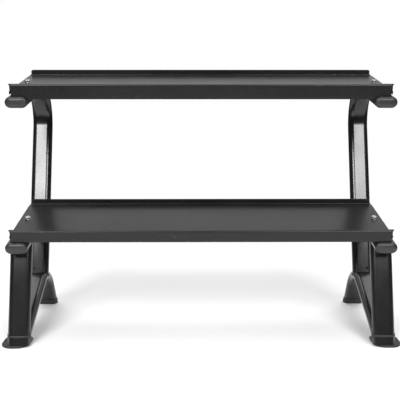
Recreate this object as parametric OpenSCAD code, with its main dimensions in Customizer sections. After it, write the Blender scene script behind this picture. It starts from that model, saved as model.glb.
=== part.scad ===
// Two-tier dumbbell rack: two welded side frames of flat-oval tube, tied by two cross rails,
// carrying two tilted sheet trays.
// +Z is up, the front faces -Y, and the origin is on the floor at the middle of the footprint.

/* [Side frames] */
// Distance between the centre planes of the two side frames
frame_gap = 1188; // [1176:2:1192]
// Width of the flat-oval tube, across the rack
tube_w = 72; // [60:1:76]
// Thickness of the flat-oval tube
tube_t = 36; // [30:1:36]
// Wall of the tube
tube_wall = 2; // [1.5:0.5:3]
// Lean of the uprights from the vertical, backwards going up
upright_lean = 17; // [15:0.5:19]
// Lean of the front legs from the vertical, backwards going up
leg_lean = 16.5; // [15:0.5:18]
// Where an upright's centre line would meet the floor
upright_base_y = 35.5; // [30:0.5:40]
// Where a front leg's centre line would meet the floor
leg_base_y = -243; // [-248:0.5:-238]
// Centre line radius of the bend between an upright and its arm
top_bend_r = 120; // [100:5:130]
// Centre line radius of the bend at the top of a base arch
arch_bend_r = 110; // [90:5:120]
// Height of the base arch's corner, before it is rounded by the bend
arch_corner_z = 174; // [168:0.5:180]
// Depth position of the base arch's corner
arch_corner_y = 119.5; // [114:0.5:125]
// Slope of the arch's front limb
front_limb_slope = 22.3; // [20:0.1:24]
// Slope of the arch's rear limb
rear_limb_slope = 59.6; // [57:0.1:62]
// Diameter of the vent hole near the foot of each upright
vent_d = 8; // [5:1:10]

/* [Trays] */
// Width of the folded front lip
tray_w = 1234; // [1220:2:1240]
// Full width of a tray's floor, over the folded side edges
floor_w = 1244; // [1236:2:1254]
// Width of the back lip
back_lip_w = 1226; // [1180:2:1232]
// Width of the front face, which stops short of the lip's ends
face_w = 1219; // [1180:1:1219]
// Depth of a tray, front face to back lip
tray_depth = 325; // [310:1:330]
// Tilt of the trays and arms, rear edge higher
tray_tilt = 10; // [8:0.5:12]
// Sheet thickness
sheet_t = 2.5; // [2:0.5:3]
// Outside radius of the sheet's bends
bend_r = 5; // [4.5:0.5:6]
// Height of the upper tray's front lip above the floor of the room
upper_lip_z = 840; // [835:1:845]
// Height of the lower tray's front lip above the floor of the room
lower_lip_z = 378; // [373:1:383]
// Depth position of the upper tray's front face
upper_lip_y = -151.5; // [-156:0.5:-147]
// How far the lower tray stands in front of the upper one
tier_step = 75; // [70:1:80]
// Depth of the upper tray's front face
upper_face_h = 48; // [38:1:50]
// Depth of the lower tray's front face
lower_face_h = 38; // [32:1:44]
// Width of the flat top of the front lip
lip_top_w = 18; // [14:1:24]
// Drop from the top of the front lip to the tray's floor
floor_drop = 24; // [20:1:28]
// Height of the back lip above the tray's floor
back_lip_h = 19; // [14:1:24]
// Height of the folded side edges
side_fold_h = 13; // [10:1:13]

/* [Mounting of the trays] */
// Drop from the top of the front lip to the arm's centre line
arm_drop = 57; // [56:0.5:60]
// Distance from a tray's front face to its bolts
tray_bolt_a = 174; // [165:1:180]
// Distance from a tray's front face to the middle of the cross rail
rail_a = 215; // [211:1:220]
// Thread diameter of the bolts
bolt_d = 10; // [8:1:10]
// Diameter of the clearance holes for the bolts
bolt_hole_d = 11; // [11:0.5:12]
// Width across flats of bolt heads and nuts
hex_af = 17; // [15:1:17]
// First end of a tray saddle, from the tray's front face
saddle_a0 = 50; // [40:1:60]
// Second end of a tray saddle, from the tray's front face
saddle_a1 = 246; // [240:1:250]

/* [Boots and caps] */
// Width of a front boot's flange
flange_w = 90; // [84:1:96]
// Depth of a front boot's flange
flange_d = 109; // [100:1:109]
// Thickness of a front boot's flange
flange_t = 7; // [5:1:9]
// Corner radius of the flange
flange_r = 38; // [30:1:42]
// How far the flange is offset outwards from the frame's centre plane
flange_out = 13; // [10:1:14]
// Height of a front boot's collar
collar_h = 38; // [34:1:42]
// Diameter of the floor anchor hole in a front boot
anchor_d = 8; // [6:0.5:9]
// Offset of the anchor hole outwards from the frame's centre plane
anchor_out = 48; // [47:0.5:49]
// Height of a rear boot
rear_boot_h = 22; // [18:1:26]
// Wall of the boots around the tube
skin = 2; // [2:0.5:2.5]

/* [Hidden] */
$fn = 64;

frame_x = frame_gap / 2;
upper_lip = [upper_lip_y, upper_lip_z];
lower_lip = [upper_lip_y - tier_step, lower_lip_z];
lips = [upper_lip, lower_lip];
arm_front_a = -4;            // a tube's front end, measured from the tray's front face
long = 600;                  // longer than any straight run, trimmed by the joint it meets
upright_dir = 90 - upright_lean;
leg_dir = 90 - leg_lean;
vent_out = 14;               // vent hole's offset outwards from the frame's centre plane
vent_up = 27;                // and its distance up the upright from the arch's centre line
tube_floor_gap = 6;          // tubes stop this far above the floor, inside the boots
cap_len = 18;                // length of an end cap's plug inside the tube
cap_nose = 12;               // how far an end cap stands out in front of the tube
cap_round = 9;
saddle_t = 3;
washer_t = 2;
washer_r = 10.5;
head_h = 6.4;
nut_h = 8;
rail_washer_t = 3;
plug_len = 40;
bend_thinning = 0.08;        // the wall thins slightly where the tube is bent
cope_gap = 0.1;              // root gap of a welded joint, on the flat faces
cope_side = 0.6;             // and at the tube's rounded sides
bite = 0.1;                  // straight runs reach this far into a bend
rail_inset = 8;              // how far the rail's coped end reaches round the arm's side

paint = "#26272a";
plastic = "#1d1d1f";
zinc = "#b9bcc0";

// Side view helpers: points are [y, z], headings are degrees from +Y towards +Z
function heading(h) = [cos(h), sin(h)];
function cross2(u, v) = u[0] * v[1] - u[1] * v[0];
function meet(p, hp, q, hq) =
    p + heading(hp) * cross2(q - p, heading(hq)) / cross2(heading(hp), heading(hq));
// Point at distance a behind a tray's front face and n above its lip, on that tray's tilted axes
function on_tray(lip, a, n) = lip + heading(tray_tilt) * a + heading(tray_tilt + 90) * n;

arm_start = [for (lip = lips) on_tray(lip, arm_front_a, -arm_drop)];
upright_base = [upright_base_y, 0];
leg_base = [leg_base_y, 0];
arch_corner = [arch_corner_y, arch_corner_z];
top_corner = meet(upright_base, upright_dir, arm_start[0], tray_tilt);
top_turn = 180 + tray_tilt - upright_dir;
top_tangent = top_bend_r * tan(top_turn / 2);
arch_turn = front_limb_slope + rear_limb_slope;
arch_tangent = arch_bend_r * tan(arch_turn / 2);
arch_front_tangent = arch_corner - heading(front_limb_slope) * arch_tangent;
arch_rear_tangent = arch_corner + heading(-rear_limb_slope) * arch_tangent;
arch_centre = arch_front_tangent + heading(front_limb_slope - 90) * arch_bend_r;
upright_top = top_corner - heading(upright_dir) * top_tangent;
top_centre = upright_top + heading(upright_dir + 90) * top_bend_r;
upper_arm_len = norm(top_corner - arm_start[0]) - top_tangent;
rear_reach = top_centre[0] + top_bend_r + tube_t / 2 - bend_thinning;
flange_y = flange_d / 2 - rear_reach;
leg_top = meet(leg_base, leg_dir, arm_start[1], tray_tilt);
leg_foot = meet(leg_base, leg_dir, arch_corner, front_limb_slope);
// The upright's centre line crosses the arch's bend here
to_arch = arch_centre - upright_base;
arch_foot = upright_base + heading(upright_dir)
    * (to_arch * heading(upright_dir)
        + sqrt(pow(arch_bend_r, 2) - pow(cross2(heading(upright_dir), to_arch), 2)));
arm_heel = meet(upright_base, upright_dir, arm_start[1], tray_tilt);
rear_foot = meet(arch_corner, -rear_limb_slope, [0, 0], 0);

// ---- tube sections and runs ----

module oval(w, t) {
    square([w - t, t], center = true);
    for (s = [-1, 1]) {
        translate([s * (w - t) / 2, 0])
            circle(d = t);
    }
}

// Section of the tube, shrunk by `inset` all round
module tube_area(inset) {
    oval(tube_w - 2 * inset, tube_t - 2 * inset);
}

// Section of a run: the tube's wall, or the full section with clearance for cutting a joint.
// `thinning` takes a little off its faces.
module run_area(hollow, thinning) {
    if (hollow) {
        difference() {
            tube_area(thinning);
            tube_area(tube_wall - thinning);
        }
    } else {
        oval(tube_w + 2 * (cope_side - thinning), tube_t + 2 * (cope_gap - thinning));
    }
}

// Places a child whose +Z is the run's direction, at p in the side view
module along(p, h) {
    translate([0, p[0], p[1]])
        rotate([h - 90, 0, 0])
            children();
}

module straight(p, h, len, hollow) {
    along(p, h)
        linear_extrude(len)
            run_area(hollow, 0);
}

// Bend about `c` from polar angle a0 to a1 in the side view
module bend(c, r, a0, a1, hollow) {
    translate([0, c[0], c[1]])
        rotate([90, 0, 90])
            rotate([0, 0, a0])
                rotate_extrude(angle = a1 - a0)
                    translate([r, 0])
                        rotate(90)
                            run_area(hollow, bend_thinning);
}

module side(s) {
    if (s < 0) {
        mirror([1, 0, 0])
            translate([frame_x, 0, 0])
                children();
    } else {
        translate([frame_x, 0, 0])
            children();
    }
}

// Moves children to a tray's axes: X across, Y back along the tray, Z off its floor
module tray_axes(lip) {
    translate([0, lip[0], lip[1]])
        rotate([tray_tilt, 0, 0])
            children();
}

// ---- the four tubes of a side frame, at X = 0 ----

module upright_run(hollow) {
    straight(arch_foot, upright_dir, norm(upright_top - arch_foot) + bite, hollow);
    bend(top_centre, top_bend_r, upright_dir - 90, tray_tilt + 90, hollow);
    straight(arm_start[0], tray_tilt, upper_arm_len + bite, hollow);
}

module lower_arm_run(hollow) {
    straight(arm_start[1], tray_tilt, norm(arm_heel - arm_start[1]), hollow);
}

module leg_run(hollow) {
    straight(leg_base, leg_dir, norm(leg_top - leg_base), hollow);
}

module arch_run(hollow) {
    straight(leg_foot, front_limb_slope, norm(arch_front_tangent - leg_foot) + bite, hollow);
    bend(arch_centre, arch_bend_r, 90 - rear_limb_slope, 90 + front_limb_slope, hollow);
    straight(rear_foot, 180 - rear_limb_slope, norm(rear_foot - arch_rear_tangent) + bite, hollow);
}

module below(z) {
    translate([-long, -long, z - long])
        cube([2 * long, 2 * long, long]);
}

// Vertical bolt hole through an arm's two walls, and the cross hole for the rail bolt
module arm_holes(lip) {
    tray_axes(lip) {
        translate([0, tray_bolt_a, -arm_drop - tube_t])
            cylinder(d = bolt_hole_d, h = 2 * tube_t);
        translate([-tube_w, rail_a, -arm_drop])
            rotate([0, 90, 0])
                cylinder(d = bolt_hole_d, h = 2 * tube_w);
    }
}

module upright(s) {
    color(paint)
        side(s)
            difference() {
                upright_run(true);
                arch_run(false);
                arm_holes(upper_lip);
                along(arch_foot, upright_dir)
                    translate([vent_out, 0, vent_up])
                        rotate([90, 0, 0])
                            cylinder(d = vent_d, h = tube_t);
            }
}

module lower_arm(s) {
    color(paint)
        side(s)
            difference() {
                lower_arm_run(true);
                upright_run(false);
                arm_holes(lower_lip);
            }
}

module front_leg(s) {
    color(paint)
        side(s)
            difference() {
                leg_run(true);
                lower_arm_run(false);
                below(tube_floor_gap);
            }
}

module base_arch(s) {
    color(paint)
        side(s)
            difference() {
                arch_run(true);
                leg_run(false);
                below(tube_floor_gap);
            }
}

// ---- end caps ----

// Half section of a cap: radius across, axis up, its nose below zero
module cap_profile() {
    r = tube_t / 2;
    translate([0, cap_round - cap_nose])
        square([r, cap_nose - cap_round]);
    translate([0, -cap_nose])
        square([r - cap_round, cap_nose]);
    translate([r - cap_round, cap_round - cap_nose])
        intersection() {
            circle(r = cap_round);
            translate([0, -cap_round])
                square(2 * cap_round);
        }
}
module cap_body() {
    half = (tube_w - tube_t) / 2;
    rotate([90, 0, 90])
        linear_extrude(2 * half, center = true) {
            cap_profile();
            mirror([1, 0])
                cap_profile();
        }
    for (a = [0, 180]) {
        rotate([0, 0, a])
            translate([half, 0, 0])
                rotate([0, 0, -90])
                    rotate_extrude(angle = 180)
                        cap_profile();
    }
}

module arm_cap(s, start) {
    color(plastic)
        side(s)
            along(start, tray_tilt) {
                cap_body();
                translate([0, 0, -1])
                    linear_extrude(cap_len + 1)
                        tube_area(tube_wall);
            }
}

// ---- boots ----

module rounded_plate(w, d, r, h) {
    linear_extrude(h) {
        square([w - 2 * r, d], center = true);
        square([w, d - 2 * r], center = true);
        for (x = [-1, 1], y = [-1, 1]) {
            translate([x * (w / 2 - r), y * (d / 2 - r)])
                circle(r = r);
        }
    }
}

// Flared body between the flange and the collar round the leg
module boot_body() {
    collar_y = leg_base_y + collar_h * tan(leg_lean);
    collar_w = tube_w + 2 * skin;
    collar_d = tube_t / cos(leg_lean) + 2 * skin;
    hull() {
        translate([0, collar_y, collar_h - 1])
            linear_extrude(1)
                oval(collar_w, collar_d);
        translate([1, flange_y - 2, flange_t - 1])
            rounded_plate(tube_w + 2 * skin, flange_d - 17, 32, 1);
    }
}

module front_boot(s) {
    color(plastic)
        side(s)
            difference() {
                union() {
                    translate([flange_out, flange_y, 0])
                        rounded_plate(flange_w, flange_d, flange_r, flange_t);
                    boot_body();
                }
                difference() {
                    leg_run(false);
                    below(tube_floor_gap);
                }
                arch_run(false);
                translate([anchor_out, flange_y, -1])
                    cylinder(d = anchor_d, h = flange_t + 2);
            }
}

module rear_boot(s) {
    color(plastic)
        side(s)
            difference() {
                along(rear_foot, 180 - rear_limb_slope)
                    translate([0, 0, -tube_w])
                        linear_extrude(2 * tube_w)
                            oval(tube_w + 2 * skin, tube_t + 2 * skin);
                below(0);
                translate([-long, -long, rear_boot_h])
                    cube([2 * long, 2 * long, long]);
                difference() {
                    arch_run(false);
                    below(tube_floor_gap);
                }
            }
}

// ---- trays ----

// Quarter of the sheet's bend about c, turned by quarter turns q
module bend_quarter(c, q) {
    translate(c)
        rotate(90 * q)
            intersection() {
                difference() {
                    circle(r = bend_r);
                    circle(r = bend_r - sheet_t);
                }
                square(bend_r);
            }
}

// Extrudes a side-view section of the tray across the rack
module across(w) {
    rotate([90, 0, 90])
        linear_extrude(w, center = true)
            children();
}

inner_r = bend_r - sheet_t;

// The lip's flat top, its inner wall and the bend into the floor
module lip_section() {
    translate([bend_r, -sheet_t])
        square([lip_top_w - 2 * bend_r, sheet_t]);
    bend_quarter([lip_top_w - bend_r, -bend_r], 0);
    translate([lip_top_w - sheet_t, inner_r - floor_drop])
        square([sheet_t, floor_drop - inner_r - bend_r]);
    bend_quarter([lip_top_w + inner_r, inner_r - floor_drop], 2);
}

module face_section(face_h) {
    bend_quarter([bend_r, -bend_r], 1);
    translate([0, -face_h])
        square([sheet_t, face_h - bend_r]);
}

module floor_section() {
    translate([lip_top_w + inner_r, -floor_drop - sheet_t])
        square([tray_depth - bend_r - lip_top_w - inner_r, sheet_t]);
    bend_quarter([tray_depth - bend_r, inner_r - floor_drop], 3);
}

// Back lip, with rounded corners at both ends
module back_lip() {
    corner = 7;
    low = inner_r - floor_drop;
    high = back_lip_h - floor_drop;
    translate([0, tray_depth, 0])
        rotate([90, 0, 0])
            linear_extrude(sheet_t) {
                translate([-back_lip_w / 2 + corner, low])
                    square([back_lip_w - 2 * corner, high - low]);
                for (x = [-1, 1]) {
                    translate([x * (back_lip_w / 2 - corner), high - corner])
                        circle(r = corner);
                    translate([x * (back_lip_w / 2 - corner / 2) - corner / 2, low])
                        square([corner, high - low - corner]);
                }
            }
}

// Folded-down edge along one side
module side_fold() {
    from = lip_top_w + bend_r + 3;
    to = tray_depth - bend_r - 3;
    translate([0, to, 0])
        rotate([90, 0, 0])
            linear_extrude(to - from) {
                bend_quarter([floor_w / 2 - bend_r, -floor_drop - bend_r], 0);
                translate([floor_w / 2 - sheet_t, -floor_drop - side_fold_h])
                    square([sheet_t, side_fold_h - bend_r]);
            }
}

module tray(lip, face_h) {
    color(paint)
        tray_axes(lip)
            difference() {
                union() {
                    across(tray_w)
                        lip_section();
                    across(face_w)
                        face_section(face_h);
                    across(floor_w - 2 * bend_r)
                        floor_section();
                    back_lip();
                    side_fold();
                    mirror([1, 0, 0])
                        side_fold();
                }
                for (x = [-frame_x, frame_x]) {
                    translate([x, tray_bolt_a, -floor_drop - 2 * sheet_t])
                        cylinder(d = bolt_hole_d, h = 4 * sheet_t);
                }
            }
}

// Channel welded along an arm's top that lifts the tray's floor clear of the tube
module saddle(s, lip) {
    top = -floor_drop - sheet_t;
    foot = tube_t / 2 - arm_drop;
    width = tube_w - tube_t;
    color(paint)
        side(s)
            tray_axes(lip)
                difference() {
                    translate([-width / 2, saddle_a0, foot])
                        cube([width, saddle_a1 - saddle_a0, top - foot]);
                    translate([saddle_t - width / 2, saddle_a0 - 1, foot - 1])
                        cube([width - 2 * saddle_t, saddle_a1 - saddle_a0 + 2, top - foot + 1 - saddle_t]);
                    translate([0, tray_bolt_a, foot])
                        cylinder(d = bolt_hole_d, h = tube_t);
                }
}

// ---- cross rails ----

module rail_run(inset, half_len) {
    translate([0, rail_a, -arm_drop])
        rotate([90, 0, 90])
            linear_extrude(2 * half_len, center = true)
                tube_area(inset);
}

module cross_rail(lip) {
    half_len = frame_x - tube_w / 2 + rail_inset;
    color(paint)
        difference() {
            tray_axes(lip)
                difference() {
                    rail_run(0, half_len);
                    rail_run(tube_wall, half_len + 1);
                }
            for (s = [-1, 1]) {
                side(s)
                    straight(on_tray(lip, 0, -arm_drop), tray_tilt, tray_depth, false);
            }
        }
}

// Places a child at each of the four rail ends, its +X pointing out of the rack
module rail_ends() {
    for (lip = lips, s = [-1, 1]) {
        side(s)
            tray_axes(lip)
                translate([0, rail_a, -arm_drop])
                    children();
    }
}

module rail_plugs() {
    color(zinc)
        rail_ends()
            translate([-tube_w / 2 - plug_len, 0, 0])
                rotate([90, 0, 90])
                    linear_extrude(plug_len)
                        difference() {
                            tube_area(tube_wall);
                            circle(d = bolt_d);
                        }
}

module hex_head(h) {
    r = hex_af / 2 / cos(30);
    intersection() {
        cylinder(r = r, h = h, $fn = 6);
        cylinder(r1 = r + 2 * h, r2 = hex_af / 2 - 0.3, h = h + 0.6);
    }
}

module rail_bolts() {
    seat = tube_w / 2 + rail_washer_t;
    color(zinc)
        rail_ends() {
            translate([seat, 0, 0])
                rotate([0, 90, 0])
                    hex_head(head_h);
            translate([10 - tube_w / 2 - plug_len, 0, 0])
                rotate([0, 90, 0])
                    cylinder(d = bolt_d, h = seat + tube_w / 2 + plug_len - 10);
        }
}

// Saddle washer: flat outside, hollowed to sit on the tube's round side
module rail_washers() {
    color(zinc)
        rail_ends()
            difference() {
                translate([tube_w / 2 - 5, 0, 0])
                    rotate([0, 90, 0])
                        cylinder(r = washer_r, h = 5 + rail_washer_t);
                translate([0, -tube_w, 0])
                    rotate([-90, 0, 0])
                        linear_extrude(2 * tube_w)
                            tube_area(0);
                rotate([0, 90, 0])
                    cylinder(d = bolt_hole_d, h = tube_w);
            }
}

// ---- tray fasteners ----

// Places a child on each tray bolt's axis, at the height of the tray's floor
module tray_bolt_axes() {
    for (lip = lips, s = [-1, 1]) {
        side(s)
            tray_axes(lip)
                translate([0, tray_bolt_a, -floor_drop])
                    children();
    }
}

arm_under = floor_drop - arm_drop - tube_t / 2;

module tray_bolts() {
    length = washer_t - arm_under + washer_t + nut_h + 4;
    color(zinc)
        tray_bolt_axes() {
            translate([0, 0, washer_t])
                hex_head(head_h);
            translate([0, 0, washer_t - length])
                cylinder(d = bolt_d, h = length);
        }
}

module washer() {
    difference() {
        cylinder(r = washer_r, h = washer_t);
        translate([0, 0, -1])
            cylinder(d = bolt_hole_d, h = washer_t + 2);
    }
}

module tray_washers() {
    color(zinc)
        tray_bolt_axes() {
            washer();
            translate([0, 0, arm_under - washer_t])
                washer();
        }
}

module tray_nuts() {
    color(zinc)
        tray_bolt_axes()
            translate([0, 0, arm_under - washer_t])
                mirror([0, 0, 1])
                    difference() {
                        hex_head(nut_h);
                        translate([0, 0, -1])
                            cylinder(d = bolt_d, h = nut_h + 2);
                    }
}

upright(-1);  // upright_left
upright(1);  // upright_right
lower_arm(-1);  // lower_arm_left
lower_arm(1);  // lower_arm_right
front_leg(-1);  // front_leg_left
front_leg(1);  // front_leg_right
base_arch(-1);  // base_arch_left
base_arch(1);  // base_arch_right
arm_cap(-1, arm_start[0]);  // upper_arm_cap_left
arm_cap(1, arm_start[0]);  // upper_arm_cap_right
arm_cap(-1, arm_start[1]);  // lower_arm_cap_left
arm_cap(1, arm_start[1]);  // lower_arm_cap_right
front_boot(-1);  // front_boot_left
front_boot(1);  // front_boot_right
rear_boot(-1);  // rear_boot_left
rear_boot(1);  // rear_boot_right
tray(upper_lip, upper_face_h);  // upper_tray
tray(lower_lip, lower_face_h);  // lower_tray
saddle(-1, upper_lip);  // upper_saddle_left
saddle(1, upper_lip);  // upper_saddle_right
saddle(-1, lower_lip);  // lower_saddle_left
saddle(1, lower_lip);  // lower_saddle_right
cross_rail(upper_lip);  // upper_cross_rail
cross_rail(lower_lip);  // lower_cross_rail
rail_plugs();
rail_bolts();
rail_washers();
tray_bolts();
tray_washers();
tray_nuts();
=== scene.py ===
"""Looks of the two-tier dumbbell rack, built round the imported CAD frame. Metres, +Z up, front towards -Y."""

import math

import bpy
from mathutils import Matrix, Vector

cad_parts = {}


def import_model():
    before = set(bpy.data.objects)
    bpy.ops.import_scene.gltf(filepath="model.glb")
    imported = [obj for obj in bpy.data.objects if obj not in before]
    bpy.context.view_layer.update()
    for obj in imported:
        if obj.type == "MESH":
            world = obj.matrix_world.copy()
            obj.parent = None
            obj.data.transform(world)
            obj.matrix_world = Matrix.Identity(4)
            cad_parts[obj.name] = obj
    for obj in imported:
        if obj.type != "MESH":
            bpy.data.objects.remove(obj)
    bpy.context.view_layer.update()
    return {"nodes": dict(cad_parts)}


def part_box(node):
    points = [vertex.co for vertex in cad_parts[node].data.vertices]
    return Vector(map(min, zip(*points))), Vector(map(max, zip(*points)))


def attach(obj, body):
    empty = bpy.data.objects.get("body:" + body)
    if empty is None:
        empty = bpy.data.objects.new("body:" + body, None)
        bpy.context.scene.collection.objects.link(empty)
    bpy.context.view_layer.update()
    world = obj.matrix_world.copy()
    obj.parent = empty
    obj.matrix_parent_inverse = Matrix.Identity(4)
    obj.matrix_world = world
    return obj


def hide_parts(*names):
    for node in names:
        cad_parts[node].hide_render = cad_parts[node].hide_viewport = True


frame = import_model()
NODES = frame["nodes"]
MM = 0.001

# ---- the CAD's own dimensions, in metres and degrees, from part.scad ----

FRAME_X = 594 * MM
TUBE_W, TUBE_T = 72 * MM, 36 * MM
HALF_FLAT = (TUBE_W - TUBE_T) / 2
HALF_T = TUBE_T / 2
TILT = 10.0
LIPS = {"upper": (-151.5 * MM, 840 * MM), "lower": (-226.5 * MM, 378 * MM)}
ARM_DROP = 57 * MM
FLOOR_DROP = 24 * MM
TRAY_BOLT_A = 174 * MM
RAIL_A = 215 * MM
UPRIGHT_LEAN, LEG_LEAN = 17.0, 16.5
UPRIGHT_DIR, LEG_DIR = 90 - UPRIGHT_LEAN, 90 - LEG_LEAN
FRONT_LIMB, REAR_LIMB = 22.3, 59.6
ARCH_R = 110 * MM
UPRIGHT_BASE = (35.5 * MM, 0.0)
LEG_BASE = (-243 * MM, 0.0)
ARCH_CORNER = (119.5 * MM, 174 * MM)
FLANGE_W, FLANGE_R = 90 * MM, 38 * MM
FLANGE_OUT, ANCHOR_OUT, ANCHOR_R = 13 * MM, 48 * MM, 4 * MM
HEX_AF, HEAD_H, NUT_H = 17 * MM, 6.4 * MM, 8 * MM
BOLT_R, WASHER_T, RAIL_WASHER_T = 5 * MM, 2 * MM, 3 * MM


def head(deg):
    return Vector((math.cos(math.radians(deg)), math.sin(math.radians(deg))))


def on_tray(lip, a, n):
    return Vector(lip) + head(TILT) * a + head(TILT + 90) * n


ARM_START = {k: on_tray(v, -4 * MM, -ARM_DROP) for k, v in LIPS.items()}
ARCH_TURN = math.radians(FRONT_LIMB + REAR_LIMB)
ARCH_TANGENT = ARCH_R * math.tan(ARCH_TURN / 2)
ARCH_CENTRE = (
    Vector(ARCH_CORNER) - head(FRONT_LIMB) * ARCH_TANGENT + head(FRONT_LIMB - 90) * ARCH_R
)

# ---- material nodes ----


def new_material(name):
    m = bpy.data.materials.new(name)
    m.use_nodes = True
    nt = m.node_tree
    return m, nt, nt.nodes["Principled BSDF"]


def add(nt, kind, **inputs):
    node = nt.nodes.new(kind)
    for key, value in inputs.items():
        if key.startswith("_"):
            setattr(node, key[1:], value)
        else:
            node.inputs[key.replace("_", " ")].default_value = value
    return node


def noise(nt, coords, scale, detail=3.0, rough=0.55, stretch=None):
    if stretch:
        mapping = add(nt, "ShaderNodeMapping", Scale=stretch)
        nt.links.new(coords, mapping.inputs["Vector"])
        coords = mapping.outputs["Vector"]
    n = add(nt, "ShaderNodeTexNoise", Scale=scale, Detail=detail, Roughness=rough)
    nt.links.new(coords, n.inputs["Vector"])
    return n.outputs["Fac"]


def ramp(nt, value, low, high, out_low=0.0, out_high=1.0):
    m = add(nt, "ShaderNodeMapRange")
    m.inputs["From Min"].default_value = low
    m.inputs["From Max"].default_value = high
    m.inputs["To Min"].default_value = out_low
    m.inputs["To Max"].default_value = out_high
    nt.links.new(value, m.inputs["Value"])
    return m.outputs["Result"]


def mix_colour(nt, factor, a, b):
    m = nt.nodes.new("ShaderNodeMix")
    m.data_type = "RGBA"
    for socket, value in ((m.inputs[6], a), (m.inputs[7], b)):
        if isinstance(value, tuple):
            socket.default_value = (*value, 1.0)
        else:
            nt.links.new(value, socket)
    nt.links.new(factor, m.inputs[0])
    return m.outputs[2]


def math_node(nt, op, a, b):
    m = add(nt, "ShaderNodeMath", _operation=op)
    for i, v in enumerate((a, b)):
        if isinstance(v, (int, float)):
            m.inputs[i].default_value = v
        else:
            nt.links.new(v, m.inputs[i])
    return m.outputs[0]


def edge_mask(nt, radius, low=0.995, high=0.80):
    """1 along sharp edges, from how far a rounded normal leaves the true one."""
    bevel = add(nt, "ShaderNodeBevel", Radius=radius)
    bevel.samples = 4
    geo = nt.nodes.new("ShaderNodeNewGeometry")
    dot = add(nt, "ShaderNodeVectorMath", _operation="DOT_PRODUCT")
    nt.links.new(bevel.outputs["Normal"], dot.inputs[0])
    nt.links.new(geo.outputs["Normal"], dot.inputs[1])
    return ramp(nt, dot.outputs["Value"], low, high), bevel.outputs["Normal"]


def bump(nt, height, strength, distance, normal=None):
    b = add(nt, "ShaderNodeBump", Strength=strength, Distance=distance)
    nt.links.new(height, b.inputs["Height"])
    if normal is not None:
        nt.links.new(normal, b.inputs["Normal"])
    return b.outputs["Normal"]


def coated_steel(name, dark, light, rough, peel_scale=700.0, scuffs=False, specular=0.5, coat=0.12):
    """Powder coat: fine orange peel, slow changes in tone and gloss, a thin rub along edges."""
    m, nt, bsdf = new_material(name)
    coords = nt.nodes.new("ShaderNodeTexCoord").outputs["Object"]
    slow = noise(nt, coords, 7.0, 4.0)
    grain = noise(nt, coords, 260.0, 2.0)
    peel = noise(nt, coords, peel_scale, 1.0, 0.4)
    specks = ramp(nt, noise(nt, coords, 950.0, 0.0), 0.70, 0.78)
    edge, rounded = edge_mask(nt, 1.4 * MM)
    rub = math_node(nt, "MULTIPLY", edge, ramp(nt, grain, 0.42, 0.68, 0.15, 0.9))
    tone = mix_colour(nt, slow, dark, light)
    tone = mix_colour(nt, math_node(nt, "MULTIPLY", specks, 0.35), tone, (0.13, 0.13, 0.135))
    tone = mix_colour(nt, math_node(nt, "MULTIPLY", rub, 0.45), tone, (0.16, 0.16, 0.165))
    gloss = ramp(nt, slow, 0.3, 0.7, rough - 0.035, rough + 0.045)
    gloss = math_node(nt, "ADD", gloss, math_node(nt, "MULTIPLY", grain, 0.05))
    if scuffs:
        lines = noise(nt, coords, 60.0, 5.0, 0.7, stretch=(1.0, 0.06, 1.0))
        worn = ramp(nt, noise(nt, coords, 5.0, 3.0), 0.50, 0.66)
        mark = math_node(nt, "MULTIPLY", ramp(nt, lines, 0.60, 0.72), worn)
        tone = mix_colour(nt, math_node(nt, "MULTIPLY", mark, 0.35), tone, (0.11, 0.11, 0.112))
        gloss = math_node(nt, "ADD", gloss, math_node(nt, "MULTIPLY", mark, 0.10))
    nt.links.new(tone, bsdf.inputs["Base Color"])
    nt.links.new(gloss, bsdf.inputs["Roughness"])
    height = math_node(nt, "ADD", peel, math_node(nt, "MULTIPLY", specks, 0.6))
    nt.links.new(bump(nt, height, 0.22, 0.10 * MM, rounded), bsdf.inputs["Normal"])
    bsdf.inputs["Specular IOR Level"].default_value = specular
    bsdf.inputs["Coat Weight"].default_value = coat
    bsdf.inputs["Coat Roughness"].default_value = 0.18
    return m


def moulded(name, dark, light, rough, grain_scale, depth):
    """Moulded plastic or rubber: leather-fine grain, dust in the grain, lighter scuffed edges."""
    m, nt, bsdf = new_material(name)
    coords = nt.nodes.new("ShaderNodeTexCoord").outputs["Object"]
    slow = noise(nt, coords, 18.0, 4.0)
    grain = noise(nt, coords, grain_scale, 4.0, 0.6)
    vor = add(nt, "ShaderNodeTexVoronoi", Scale=grain_scale * 0.8)
    nt.links.new(coords, vor.inputs["Vector"])
    edge, rounded = edge_mask(nt, 1.6 * MM)
    tone = mix_colour(nt, slow, dark, light)
    dust = math_node(nt, "MULTIPLY", ramp(nt, grain, 0.52, 0.75), 0.25)
    tone = mix_colour(nt, dust, tone, (0.10, 0.10, 0.10))
    scuff = math_node(nt, "MULTIPLY", edge, ramp(nt, slow, 0.35, 0.65, 0.1, 0.5))
    tone = mix_colour(nt, scuff, tone, (0.12, 0.12, 0.12))
    nt.links.new(tone, bsdf.inputs["Base Color"])
    nt.links.new(ramp(nt, grain, 0.3, 0.7, rough - 0.05, rough + 0.07), bsdf.inputs["Roughness"])
    height = math_node(nt, "ADD", grain, math_node(nt, "MULTIPLY", vor.outputs["Distance"], 0.6))
    nt.links.new(bump(nt, height, 0.35, depth, rounded), bsdf.inputs["Normal"])
    bsdf.inputs["Specular IOR Level"].default_value = 0.45
    return m


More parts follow.
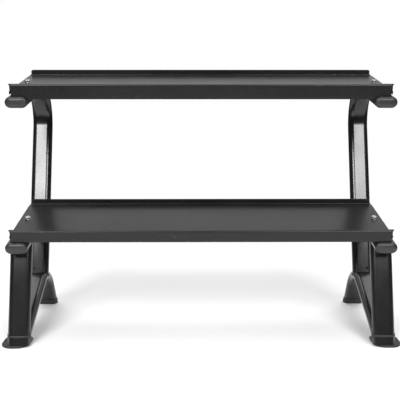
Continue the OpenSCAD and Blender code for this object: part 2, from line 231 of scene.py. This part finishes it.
def zinc(name):
    """Bright zinc plate: turning marks, faint blue and yellow tints, duller spots."""
    m, nt, bsdf = new_material(name)
    coords = nt.nodes.new("ShaderNodeTexCoord").outputs["Object"]
    slow = noise(nt, coords, 90.0, 3.0)
    marks = noise(nt, coords, 500.0, 3.0, 0.6, stretch=(1.0, 1.0, 4.0))
    spots = ramp(nt, noise(nt, coords, 420.0, 2.0), 0.58, 0.72)
    edge, rounded = edge_mask(nt, 0.5 * MM)
    tone = mix_colour(nt, slow, (0.60, 0.62, 0.66), (0.74, 0.72, 0.66))
    tone = mix_colour(nt, math_node(nt, "MULTIPLY", spots, 0.5), tone, (0.40, 0.41, 0.42))
    tone = mix_colour(nt, math_node(nt, "MULTIPLY", edge, 0.5), tone, (0.86, 0.86, 0.86))
    nt.links.new(tone, bsdf.inputs["Base Color"])
    marked = ramp(nt, marks, 0.3, 0.7, 0.20, 0.34)
    dulled = math_node(nt, "MULTIPLY", spots, 0.12)
    nt.links.new(math_node(nt, "ADD", marked, dulled), bsdf.inputs["Roughness"])
    nt.links.new(bump(nt, marks, 0.25, 0.05 * MM, rounded), bsdf.inputs["Normal"])
    bsdf.inputs["Metallic"].default_value = 1.0
    return m


FRAME_PAINT = coated_steel("frame_paint", (0.005, 0.0051, 0.0054), (0.009, 0.0092, 0.0097), 0.175)
TRAY_PAINT = coated_steel(
    "tray_paint",
    (0.006, 0.0061, 0.0065),
    (0.011, 0.0112, 0.0118),
    0.28,
    peel_scale=620.0,
    scuffs=True,
    specular=0.3,
    coat=0.0,
)
CAP_PLASTIC = moulded("cap_plastic", (0.016, 0.016, 0.0165), (0.024, 0.024, 0.0245), 0.40, 900.0, 0.12 * MM)
BOOT_RUBBER = moulded("boot_rubber", (0.013, 0.013, 0.0133), (0.021, 0.021, 0.0214), 0.52, 700.0, 0.18 * MM)
ZINC = zinc("zinc_steel")

# ---- meshes ----


def make(name, verts, faces, material, slot, replaces=(), sharp=35.0):
    mesh = bpy.data.meshes.new(name)
    mesh.from_pydata([tuple(v) for v in verts], [], faces)
    mesh.validate()
    mesh.update()
    obj = bpy.data.objects.new(name, mesh)
    bpy.context.scene.collection.objects.link(obj)
    mesh.materials.append(material)
    mesh.shade_smooth()
    mesh.set_sharp_from_angle(angle=math.radians(sharp))
    if replaces:
        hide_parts(*replaces)
    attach(obj, "root")
    return obj


def loft(rings, closed_ends=True, loop=False):
    """Quads between equal rings of points, outward for rings wound anticlockwise seen from the last one."""
    n = len(rings[0])
    verts = [p for r in rings for p in r]
    faces = []
    count = len(rings)
    for k in range(count if loop else count - 1):
        for i in range(n):
            j = (i + 1) % n
            a, b = k * n, ((k + 1) % count) * n
            faces.append((a + i, a + j, b + j, b + i))
    if closed_ends and not loop:
        for base, ring, flip in ((0, rings[0], True), ((count - 1) * n, rings[-1], False)):
            centre = len(verts)
            verts.append(sum((Vector(p) for p in ring), Vector()) / n)
            for i in range(n):
                j = (i + 1) % n
                faces.append((centre, base + j, base + i) if flip else (centre, base + i, base + j))
    return verts, faces


def placed(verts, faces, matrix, side):
    """Side-frame points moved by matrix, then put on the right (+1) or mirrored to the left (-1)."""
    moved = [matrix @ Vector(v) for v in verts]
    if side < 0:
        return [Vector((-(v.x + FRAME_X), v.y, v.z)) for v in moved], [f[::-1] for f in faces]
    return [Vector((v.x + FRAME_X, v.y, v.z)) for v in moved], faces


def join(parts):
    verts, faces = [], []
    for v, f in parts:
        base = len(verts)
        verts += v
        faces += [tuple(i + base for i in face) for face in f]
    return verts, faces


def oval(flat, r, n=24):
    """Flat-oval outline, anticlockwise: half circles of radius r, centred a distance flat each side."""
    pts = []
    for sx, start in ((1, -90), (-1, 90)):
        for i in range(n + 1):
            a = math.radians(start + 180 * i / n)
            pts.append(Vector((sx * flat + r * math.cos(a), r * math.sin(a))))
    return pts


def circle(r, n, z=0.0, centre=(0.0, 0.0)):
    """n points of a level circle at height z, anticlockwise."""
    angles = [2 * math.pi * i / n for i in range(n)]
    return [Vector((centre[0] + r * math.cos(a), centre[1] + r * math.sin(a), z)) for a in angles]


def rounded_rect(w, d, r, n=12):
    pts = []
    for q in range(4):
        cx = (w / 2 - r) * (1 if q in (0, 3) else -1)
        cy = (d / 2 - r) * (1 if q in (0, 1) else -1)
        for i in range(n + 1):
            a = math.radians(90 * q + 90 * i / n)
            pts.append(Vector((cx + r * math.cos(a), cy + r * math.sin(a))))
    return pts


def by_angle(outline, n):
    """Radii of a convex outline about its own middle at n even angles."""
    radii = []
    m = len(outline)
    for k in range(n):
        a = 2 * math.pi * k / n
        d = Vector((math.cos(a), math.sin(a)))
        best = 0.0
        for i in range(m):
            p, q = outline[i], outline[(i + 1) % m]
            e = q - p
            den = d.x * e.y - d.y * e.x
            if abs(den) < 1e-12:
                continue
            t = (p.x * e.y - p.y * e.x) / den
            u = (p.x * d.y - p.y * d.x) / den
            if t > 0 and -1e-6 <= u <= 1 + 1e-6:
                best = max(best, t)
        radii.append(best)
    return radii


def along(p, deg):
    """Matrix with +Z along a heading in the side view and +X across the rack, at side-view point p."""
    return Matrix.Translation((0, p[0], p[1])) @ Matrix.Rotation(math.radians(deg - 90), 4, "X")


# ---- arm end caps: a plug whose moulded head is flush with the tube and softly domed ----


def cap_rings():
    r = HALF_T / MM
    profile = [(r - 2.2, 17.0), (r - 2.2, 0.4)]
    profile += [(r - 0.5, 0.2), (r - 0.5, -0.3), (r - 0.05, -0.7), (r, -1.2), (r, -2.4)]
    for i in range(1, 17):
        a = math.radians(90 * i / 16)
        profile.append((max(r * math.cos(a) ** 0.78, 0.4), -2.4 - 9.6 * math.sin(a) ** 1.05))
    rings = []
    for radius, z in profile:
        narrow = min(radius / r, 1.0) ** 0.35
        rings.append([Vector((p.x, p.y, z * MM)) for p in oval(HALF_FLAT * narrow, radius * MM, 28)])
    return rings[::-1]


for which in ("upper", "lower"):
    for side, sign in (("left", -1), ("right", 1)):
        v, f = loft(cap_rings())
        v, f = placed(v, f, along(ARM_START[which], TILT), sign)
        make(f"arm_cap_{which}_{side}", v, f, CAP_PLASTIC, "cap_plastic", [f"{which}_arm_cap_{side}"])

# ---- boots ----

BOOT_N = 96
# Inset from the collar's outline and height against its top, in millimetres, from outside to inside
COLLAR_LIP = (
    (0.1, -4.1),
    (-0.1, -3.5),
    (-0.1, -0.9),
    (0.1, -0.25),
    (0.5, 0.0),
    (1.2, 0.0),
    (1.6, -0.5),
    (1.7, -2.5),
)


def front_boot_rings():
    lo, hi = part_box("front_boot_right")
    flange_y = (lo[1] + hi[1]) / 2
    flange_d = hi[1] - lo[1]
    top = hi[2]
    collar_y = LEG_BASE[0] + top * math.tan(math.radians(LEG_LEAN))
    flange = by_angle(rounded_rect(FLANGE_W, flange_d, FLANGE_R), BOOT_N)
    foot = by_angle(rounded_rect(76 * MM, flange_d - 17 * MM, 32 * MM), BOOT_N)
    lean = 1 / math.cos(math.radians(LEG_LEAN))
    collar = by_angle(
        [Vector((p.x, p.y * lean)) for p in oval(HALF_FLAT, HALF_T + 1.8 * MM, 16)], BOOT_N
    )
    c_flange = Vector((FLANGE_OUT, flange_y))
    c_foot = Vector((1 * MM, flange_y - 2 * MM))
    c_collar = Vector((0, collar_y))

    def ring(radii, centre, inset, z):
        out = []
        for k in range(BOOT_N):
            a = 2 * math.pi * k / BOOT_N
            r = radii[k] - inset
            out.append(Vector((centre.x + r * math.cos(a), centre.y + r * math.sin(a), z)))
        return out

    def blend(a, b, t):
        return [p + (q - p) * t for p, q in zip(a, b)]

    edge = ((1.2, 0.0), (0.35, 0.35), (0.0, 1.2), (0.0, 5.0))
    rings = [ring(flange, c_flange, inset * MM, z * MM) for inset, z in edge]
    for i in range(1, 5):
        a = math.radians(22.5 * i)
        inset = 2.0 * MM * (1 - math.cos(a))
        rings.append(ring(flange, c_flange, inset, (5.0 + 2.0 * math.sin(a)) * MM))
    low = ring(foot, c_foot, 0.0, 7.0 * MM)
    rim = rings[-1]
    for t in (0.35, 0.7, 0.9):
        row = blend(rim, low, t)
        rings.append([Vector((p.x, p.y, (7.0 + 0.5 * t * t) * MM)) for p in row])
    high = ring(collar, c_collar, 0.0, top - 4.5 * MM)
    for i in range(0, 11):
        t = i / 10
        s = 1 - (1 - t) ** 1.55
        z = 7.5 * MM + (top - 12.0 * MM) * t
        row = blend(low, high, s)
        rings.append([Vector((p.x, p.y, z)) for p in row])
    for inset, z in COLLAR_LIP:
        shift = c_collar + Vector((0, z * MM * math.tan(math.radians(LEG_LEAN))))
        rings.append(ring(collar, shift, inset * MM, top + z * MM))
    return rings, flange_y


def rear_boot_rings():
    lo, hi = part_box("rear_boot_right")
    top = hi[2]
    slope = math.radians(REAR_LIMB)
    foot_y = ARCH_CORNER[0] + ARCH_CORNER[1] / math.tan(slope)
    rows = [(-1.2, 0.0), (-0.3, 0.3), (0.0, 1.2), (0.0, 15.0), (-0.5, 15.5), (-0.5, 16.3), (0.0, 16.8)]
    lip = ((0.0, -1.4), (-0.4, -0.4), (-1.3, 0.0), (-1.6, 0.0), (-1.9, -1.0))
    rows += [(dr, top / MM + z) for dr, z in lip]
    rings = []
    for dr, z in rows:
        y0 = foot_y - z * MM / math.tan(slope)
        outline = oval(HALF_FLAT, HALF_T + (2.0 + dr) * MM, 28)
        rings.append([Vector((p.x, y0 + p.y / math.sin(slope), z * MM)) for p in outline])
    return rings


def drill(obj, centre, radius, depth):
    """Cuts a round vertical hole and keeps only the resulting mesh."""
    low, high = centre[2] - depth, centre[2] + depth
    v, f = loft([circle(radius, 40, z, centre) for z in (low, high)])
    mesh = bpy.data.meshes.new("cutter")
    mesh.from_pydata([tuple(p) for p in v], [], f)
    cutter = bpy.data.objects.new("cutter", mesh)
    bpy.context.scene.collection.objects.link(cutter)
    mod = obj.modifiers.new("hole", "BOOLEAN")
    mod.operation, mod.object, mod.solver = "DIFFERENCE", cutter, "EXACT"
    bpy.context.view_layer.update()
    cut = bpy.data.meshes.new_from_object(obj.evaluated_get(bpy.context.evaluated_depsgraph_get()))
    obj.modifiers.remove(mod)
    obj.data = cut
    bpy.data.objects.remove(cutter)
    cut.set_sharp_from_angle(angle=math.radians(35))


for side, sign in (("left", -1), ("right", 1)):
    rings, flange_y = front_boot_rings()
    v, f = placed(*loft(rings), Matrix.Identity(4), sign)
    boot = make(f"boot_front_{side}", v, f, BOOT_RUBBER, "boot_rubber", [f"front_boot_{side}"])
    drill(boot, (sign * (FRAME_X + ANCHOR_OUT), flange_y, 0.0), ANCHOR_R, 12 * MM)
    v, f = placed(*loft(rear_boot_rings()), Matrix.Identity(4), sign)
    make(f"boot_rear_{side}", v, f, BOOT_RUBBER, "boot_rubber", [f"rear_boot_{side}"])

# ---- weld beads, run round each joint of the tubes ----


def half_thickness(x):
    over = max(abs(x) - HALF_FLAT, 0.0)
    return math.sqrt(max(HALF_T**2 - over**2, 0.0))


def bead(path, axis, radius=2.3 * MM, ripple=3.2 * MM, closed=True, phase=0.0):
    """A rippled bead of weld metal along a path of 3-D points."""
    pts = path + [path[0]] if closed else path
    lengths = [0.0]
    for p, q in zip(pts, pts[1:]):
        lengths.append(lengths[-1] + (q - p).length)
    total = lengths[-1]
    count = max(int(total / (0.8 * MM)), 8)
    stations, k = [], 0
    for i in range(count if closed else count + 1):
        s = total * i / count
        while k < len(lengths) - 2 and lengths[k + 1] < s:
            k += 1
        t = (s - lengths[k]) / max(lengths[k + 1] - lengths[k], 1e-9)
        stations.append((pts[k].lerp(pts[k + 1], t), s))
    rings = []
    n = len(stations)
    waves = max(round(total / ripple), 1)
    for i, (p, s) in enumerate(stations):
        before = stations[(i - 1) % n][0] if closed or i else p
        after = stations[(i + 1) % n][0] if closed or i < n - 1 else p
        tangent = (after - before).normalized()
        u = tangent.cross(axis).normalized()
        w = tangent.cross(u)
        wave = abs(math.sin(math.pi * (waves * s / total + phase)))
        fade = 1.0 if closed else min(1.0, min(s, total - s) / (2.5 * MM) + 0.35)
        r = radius * fade * (0.86 + 0.14 * wave + 0.04 * math.sin(s / (9 * MM) + phase * 7))
        angles = [math.pi * j / 4 for j in range(8)]
        rings.append([p + u * (r * math.cos(a)) + w * (r * math.sin(a)) for a in angles])
    return loft(rings, closed_ends=not closed, loop=closed)


def joint_path(base, deg, target):
    """Outline where the tube that leaves base at a heading meets the surface that target solves for."""
    d, nrm = head(deg), head(deg + 90)
    path = []
    for p in oval(HALF_FLAT, HALF_T, 40):
        start = Vector(base) + nrm * p.y
        t = target(start, d, half_thickness(p.x))
        q = start + d * t
        path.append(Vector((p.x, q.x, q.y)))
    return path


def to_plane(origin, deg, sign):
    nrm = head(deg + 90)

    def solve(start, d, h):
        return (sign * h - (start - Vector(origin)).dot(nrm)) / d.dot(nrm)

    return solve


def to_bend(centre, radius):
    def solve(start, d, h):
        rel = start - centre
        b = rel.dot(d)
        return -b + math.sqrt(max(b * b - rel.dot(rel) + (radius + h) ** 2, 0.0))

    return solve


def side_axis(deg):
    return Vector((0, head(deg).x, head(deg).y))


arm_base = Vector(ARM_START["lower"])
JOINTS = {
    "leg_to_arm": (LEG_BASE, LEG_DIR, to_plane(arm_base, TILT, -1)),
    "arm_to_upright": (arm_base, TILT, to_plane(UPRIGHT_BASE, UPRIGHT_DIR, 1)),
    "upright_to_arch": (UPRIGHT_BASE, UPRIGHT_DIR, to_bend(ARCH_CENTRE, ARCH_R)),
    "arch_to_leg": (ARCH_CORNER, FRONT_LIMB, to_plane(LEG_BASE, LEG_DIR, -1)),
}
for side, sign in (("left", -1), ("right", 1)):
    for k, (name, (base, deg, target)) in enumerate(JOINTS.items()):
        v, f = bead(joint_path(base, deg, target), side_axis(deg), phase=0.13 * k)
        v, f = placed(v, f, Matrix.Identity(4), sign)
        make(f"weld_{name}_{side}", v, f, FRAME_PAINT, "frame_paint", sharp=80)

# Stitch welds along the feet of the saddles: where each starts behind the tray's front face, in millimetres
STITCH_STARTS, STITCH_LEN, STITCH_STEPS = (54, 133, 212), 30, 8
for which, lip in LIPS.items():
    for side, sign in (("left", -1), ("right", 1)):
        parts = []
        for x in (-HALF_FLAT - 0.4 * MM, HALF_FLAT + 0.4 * MM):
            for a0 in STITCH_STARTS:
                line = []
                for i in range(STITCH_STEPS + 1):
                    a = (a0 + STITCH_LEN * i / STITCH_STEPS) * MM
                    q = on_tray(lip, a, HALF_T - ARM_DROP - 0.2 * MM)
                    line.append(Vector((x, q.x, q.y)))
                parts.append(bead(line, Vector((1, 0, 0)), 1.9 * MM, closed=False, phase=a0 * 0.1))
        v, f = placed(*join(parts), Matrix.Identity(4), sign)
        make(f"weld_saddle_{which}_{side}", v, f, FRAME_PAINT, "frame_paint", sharp=80)

# ---- fasteners ----


def hex_rings(af, h, top_flat=0.94, steps=10, base_pad=0.3 * MM):
    """A chamfered hexagon from 0 to h, with a round washer face below it."""
    n = 96
    corner = af / 2 / math.cos(math.radians(30))

    def hex_r(a):
        a = (a + math.pi / 6) % (math.pi / 3) - math.pi / 6
        return af / 2 / math.cos(a)

    rings = [circle(af / 2 * 0.95, n, z) for z in (0.0, base_pad)]
    flat_r = af / 2 * top_flat
    cone = (corner - flat_r) * math.tan(math.radians(30))
    zs = [base_pad + 0.05 * MM] + [h - cone * (1 - i / steps) for i in range(steps + 1)]
    for z in zs:
        limit = flat_r + max(h - z, 0.0) / math.tan(math.radians(30))
        ring = []
        for i in range(n):
            a = 2 * math.pi * i / n
            r = min(hex_r(a), limit)
            ring.append(Vector((r * math.cos(a), r * math.sin(a), z)))
        rings.append(ring)
    rings.append([p * 0.9 + Vector((0, 0, p.z * 0.1)) for p in rings[-1]])
    return rings


def turned(profile, n=64):
    """Rings for a lathe profile of (radius, height) in millimetres."""
    return [circle(r * MM, n, z * MM) for r, z in profile]


def thread(r, z0, z1, pitch=1.5 * MM, n=32):
    """A threaded shank of outer radius r between two heights, with a chamfered end at z0."""
    rows = int((z1 - z0) / (0.25 * MM))
    rings = []
    for k in range(rows + 1):
        z = z0 + (z1 - z0) * k / rows
        ring = []
        for i in range(n):
            a = 2 * math.pi * i / n
            turn = (z / pitch - i / n) % 1.0
            depth = 0.9 * MM * (1 - abs(2 * turn - 1))
            rr = min(r - depth, r - 1.2 * MM + (z - z0))
            ring.append(Vector((rr * math.cos(a), rr * math.sin(a), z)))
        rings.append(ring)
    return rings


WASHER = [
    (5.5, 0.3),
    (5.8, 0.0),
    (10.1, 0.0),
    (10.5, 0.4),
    (10.5, 1.6),
    (10.1, 2.0),
    (5.8, 2.0),
    (5.5, 1.7),
]
SEATS = [(w, s) for w in LIPS for s in (-1, 1)]
ARM_UNDER = FLOOR_DROP - ARM_DROP - HALF_T


def tray_seat(which, drop, spin):
    at = on_tray(LIPS[which], TRAY_BOLT_A, -FLOOR_DROP)
    return (
        along(at, TILT + 90)
        @ Matrix.Translation((0, 0, drop))
        @ Matrix.Rotation(math.radians(spin), 4, "Z")
    )


def rail_seat(which, out, spin):
    at = on_tray(LIPS[which], RAIL_A, -ARM_DROP)
    return (
        Matrix.Translation((0, at.x, at.y))
        @ Matrix.Rotation(math.radians(TILT), 4, "X")
        @ Matrix.Rotation(math.radians(90), 4, "Y")
        @ Matrix.Translation((0, 0, out))
        @ Matrix.Rotation(math.radians(spin), 4, "Z")
    )


TRAY_SHANK, RAIL_SHANK = 18 * MM, 20 * MM
HEAD, NUT = hex_rings(HEX_AF, HEAD_H), hex_rings(HEX_AF, NUT_H)
FLIP = Matrix.Rotation(math.pi, 4, "X")
RAIL_SEAT = HALF_FLAT + HALF_T + RAIL_WASHER_T

bolts, washers, nuts, rail_bolts = [], [], [], []
for k, (which, sign) in enumerate(SEATS):
    spin = 17 + 23 * k
    low_end = ARM_UNDER - WASHER_T - NUT_H - 4 * MM
    shank = turned([(4.9, (low_end + TRAY_SHANK) / MM - 1), (4.9, 2.2)], 32)
    bolts.append(placed(*loft(HEAD), tray_seat(which, WASHER_T, spin), sign))
    screw = thread(BOLT_R, low_end, low_end + TRAY_SHANK)
    bolts.append(placed(*loft(screw), tray_seat(which, 0, spin), sign))
    bolts.append(placed(*loft(shank), tray_seat(which, 0, 0), sign))
    for z in (0.0, ARM_UNDER - WASHER_T):
        ring = loft(turned(WASHER), closed_ends=False, loop=True)
        washers.append(placed(*ring, tray_seat(which, z, 0), sign))
    under = tray_seat(which, ARM_UNDER - WASHER_T, spin + 9) @ FLIP
    nuts.append(placed(*loft(NUT), under, sign))
    rail_bolts.append(placed(*loft(HEAD), rail_seat(which, RAIL_SEAT, spin + 4), sign))
    shank = turned([(4.95, 0), (4.95, RAIL_SHANK / MM)], 32)
    rail_bolts.append(placed(*loft(shank), rail_seat(which, RAIL_SEAT - RAIL_SHANK, 0), sign))

make("bolts_tray", *join(bolts), ZINC, "zinc_steel", ["tray_bolts"], sharp=25)
make("washers_tray", *join(washers), ZINC, "zinc_steel", ["tray_washers"], sharp=30)
make("nuts_tray", *join(nuts), ZINC, "zinc_steel", ["tray_nuts"], sharp=25)
make("bolts_rail", *join(rail_bolts), ZINC, "zinc_steel", ["rail_bolts"], sharp=25)

# ---- the CAD pieces that stay get their own materials ----

for name, obj in NODES.items():
    if name in ("rail_washers", "rail_plugs"):
        material = ZINC
    elif name in ("upper_tray", "lower_tray"):
        material = TRAY_PAINT
    else:
        material = FRAME_PAINT
    obj.data.materials.clear()
    obj.data.materials.append(material)

# ---- floor, light and camera ----


def stage_floor():
    """A pale floor whose edge fades out, so that no horizon shows."""
    mesh = bpy.data.meshes.new("floor")
    s = 3.2
    mesh.from_pydata([(-s, -s, 0), (s, -s, 0), (s, s, 0), (-s, s, 0)], [], [(0, 1, 2, 3)])
    obj = bpy.data.objects.new("floor", mesh)
    bpy.context.scene.collection.objects.link(obj)
    m, nt, bsdf = new_material("pale_floor")
    coords = nt.nodes.new("ShaderNodeTexCoord").outputs["Object"]
    tone = mix_colour(nt, noise(nt, coords, 1.5, 2.0), (0.93, 0.93, 0.93), (0.96, 0.96, 0.96))
    nt.links.new(tone, bsdf.inputs["Base Color"])
    length = add(nt, "ShaderNodeVectorMath", _operation="LENGTH")
    nt.links.new(coords, length.inputs[0])
    nt.links.new(ramp(nt, length.outputs["Value"], 1.3, 2.7, 1.0, 0.0), bsdf.inputs["Alpha"])
    bsdf.inputs["Roughness"].default_value = 0.85
    bsdf.inputs["Specular IOR Level"].default_value = 0.2
    mesh.materials.append(m)


def area_light(name, at, target, size, power):
    data = bpy.data.lights.new(name, "AREA")
    data.shape, data.size, data.size_y, data.energy = "RECTANGLE", size[0], size[1], power
    obj = bpy.data.objects.new(name, data)
    bpy.context.scene.collection.objects.link(obj)
    obj.location = at
    obj.rotation_euler = (Vector(target) - Vector(at)).to_track_quat("-Z", "Y").to_euler()
    return obj


def world():
    w = bpy.data.worlds.new("studio")
    bpy.context.scene.world = w
    w.use_nodes = True
    nt = w.node_tree
    background = nt.nodes["Background"]
    coords = nt.nodes.new("ShaderNodeTexCoord").outputs["Generated"]
    split = nt.nodes.new("ShaderNodeSeparateXYZ")
    nt.links.new(coords, split.inputs[0])
    back = ramp(nt, split.outputs["Y"], 0.1, 0.5)
    high = ramp(nt, split.outputs["Z"], 0.10, 0.30)
    top = ramp(nt, split.outputs["Z"], 0.55, 0.80, 1.0, 0.35)
    glow = math_node(nt, "MULTIPLY", math_node(nt, "MULTIPLY", back, high), top)
    tone = mix_colour(nt, glow, (0.07, 0.07, 0.072), (0.8, 0.8, 0.8))
    seen = nt.nodes.new("ShaderNodeLightPath").outputs["Is Camera Ray"]
    tone = mix_colour(nt, seen, tone, (1.0, 1.0, 1.0))
    nt.links.new(tone, background.inputs["Color"])
    background.inputs["Strength"].default_value = 1.0


stage_floor()
world()
area_light("front_left", (-1.45, -3.3, 2.46), (-0.45, 0.15, 0.55), (1.5, 1.2), 118)
area_light("front_right", (1.45, -3.3, 2.46), (0.45, 0.15, 0.55), (1.5, 1.2), 89)
overhead = bpy.data.lights.new("overhead", "SUN")
overhead.energy, overhead.angle = 2.2, math.radians(70)
overhead_obj = bpy.data.objects.new("overhead", overhead)
bpy.context.scene.collection.objects.link(overhead_obj)
overhead_obj.location = (0.0, 0.0, 3.0)
overhead_obj.rotation_euler = (math.radians(-8), 0.0, 0.0)

scene = bpy.context.scene
scene.view_settings.view_transform = "Standard"
scene.view_settings.look = "None"
camera_data = bpy.data.cameras.new("camera")
camera_data.sensor_width = 36.0
camera_data.lens = 63.45
camera = bpy.data.objects.new("camera", camera_data)
scene.collection.objects.link(camera)
camera.location = (-0.0197, -2.4290, 0.8459)
camera.rotation_euler = (math.radians(80.54), 0.0, math.radians(-0.38))
scene.camera = camera
